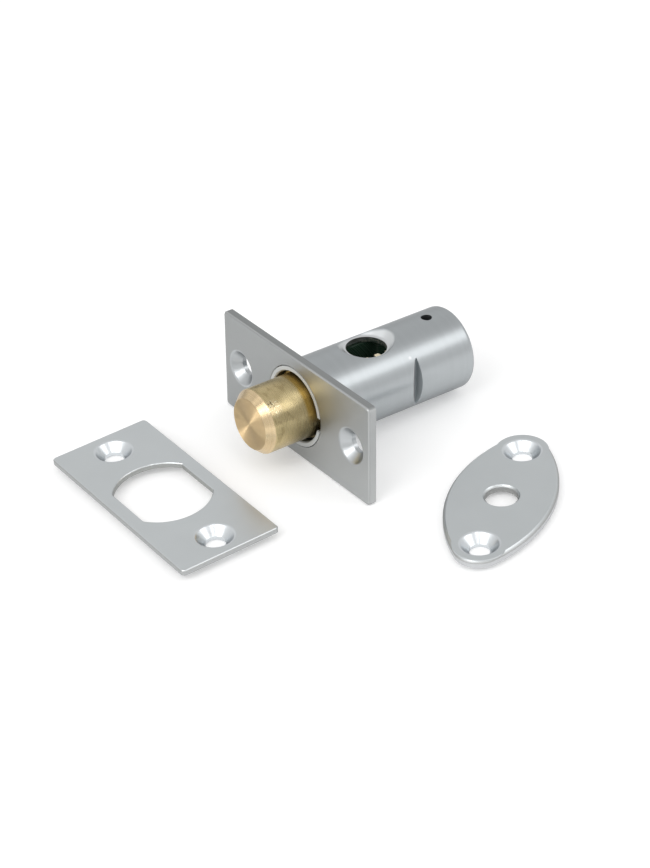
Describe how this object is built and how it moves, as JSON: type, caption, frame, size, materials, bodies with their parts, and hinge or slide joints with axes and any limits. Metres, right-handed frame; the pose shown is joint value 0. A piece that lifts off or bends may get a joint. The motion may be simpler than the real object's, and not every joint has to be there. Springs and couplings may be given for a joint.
{
  "type": "window security bolt",
  "caption": "Mortice security bolt with a sliding brass bolt in a drawn barrel on an oblong faceplate, with its flat strike plate and oval key plate.",
  "frame": {"origin": "centre of the faceplate's front face, on the axis of the bolt", "axes": "+Y runs back along the barrel into the wood and the bolt is thrown towards -Y, X runs along the faceplate's long edge, +Z is the side of the barrel that the key hole is in"},
  "size_m": [0.0754, 0.0728, 0.0217],
  "materials": {
    "satin_chrome_plate": "satin chrome plate on pressed steel, polished screw seats",
    "satin_chrome_barrel": "satin chrome plate on a drawn steel barrel",
    "turned_brass": "bright turned brass with fine lathe lines"
  },
  "bodies": {
    "case": {"faceplate": "satin_chrome_plate", "barrel": "satin_chrome_barrel", "strike_plate": "satin_chrome_plate", "escutcheon": "satin_chrome_plate"},
    "bolt": {"bolt": "turned_brass"}
  },
  "joints": [
    {"name": "bolt_throw", "type": "slide", "parent": "case", "child": "bolt", "axis": [0, 1, 0], "range_m": [0, 0.01]}
  ]
}
